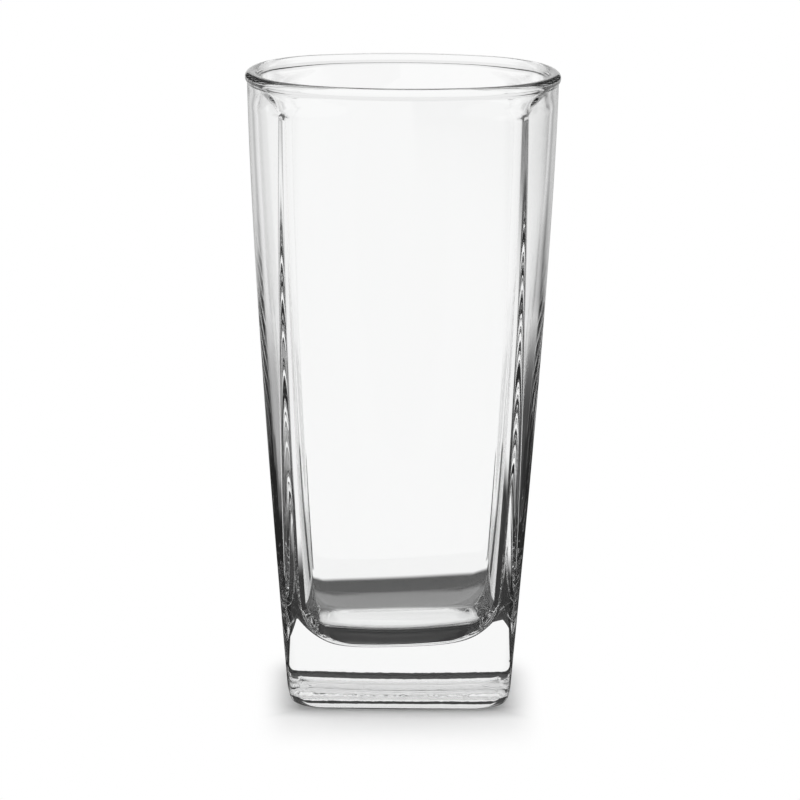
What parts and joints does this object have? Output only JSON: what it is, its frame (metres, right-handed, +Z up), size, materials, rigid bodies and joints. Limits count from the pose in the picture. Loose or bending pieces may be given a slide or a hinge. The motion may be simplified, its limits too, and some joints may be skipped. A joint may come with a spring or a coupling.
{
  "type": "highball glass",
  "caption": "Tall clear pressed-glass tumbler with a thick square foot, four narrow upright edges and bowed sides that flare into a nearly round beaded mouth.",
  "frame": {"origin": "centre of the flat underside, on the plane that the glass stands on", "axes": "+Z up through the middle of the mouth; X and Y square to the four flat sides of the foot, with -Y towards the picture's camera"},
  "size_m": [0.08, 0.08, 0.16],
  "materials": {
    "clear_glass": "clear soda-lime glass, fire-polished, very slightly wavy from pressing"
  },
  "bodies": {
    "root": {"tumbler": "clear_glass"}
  },
  "joints": []
}
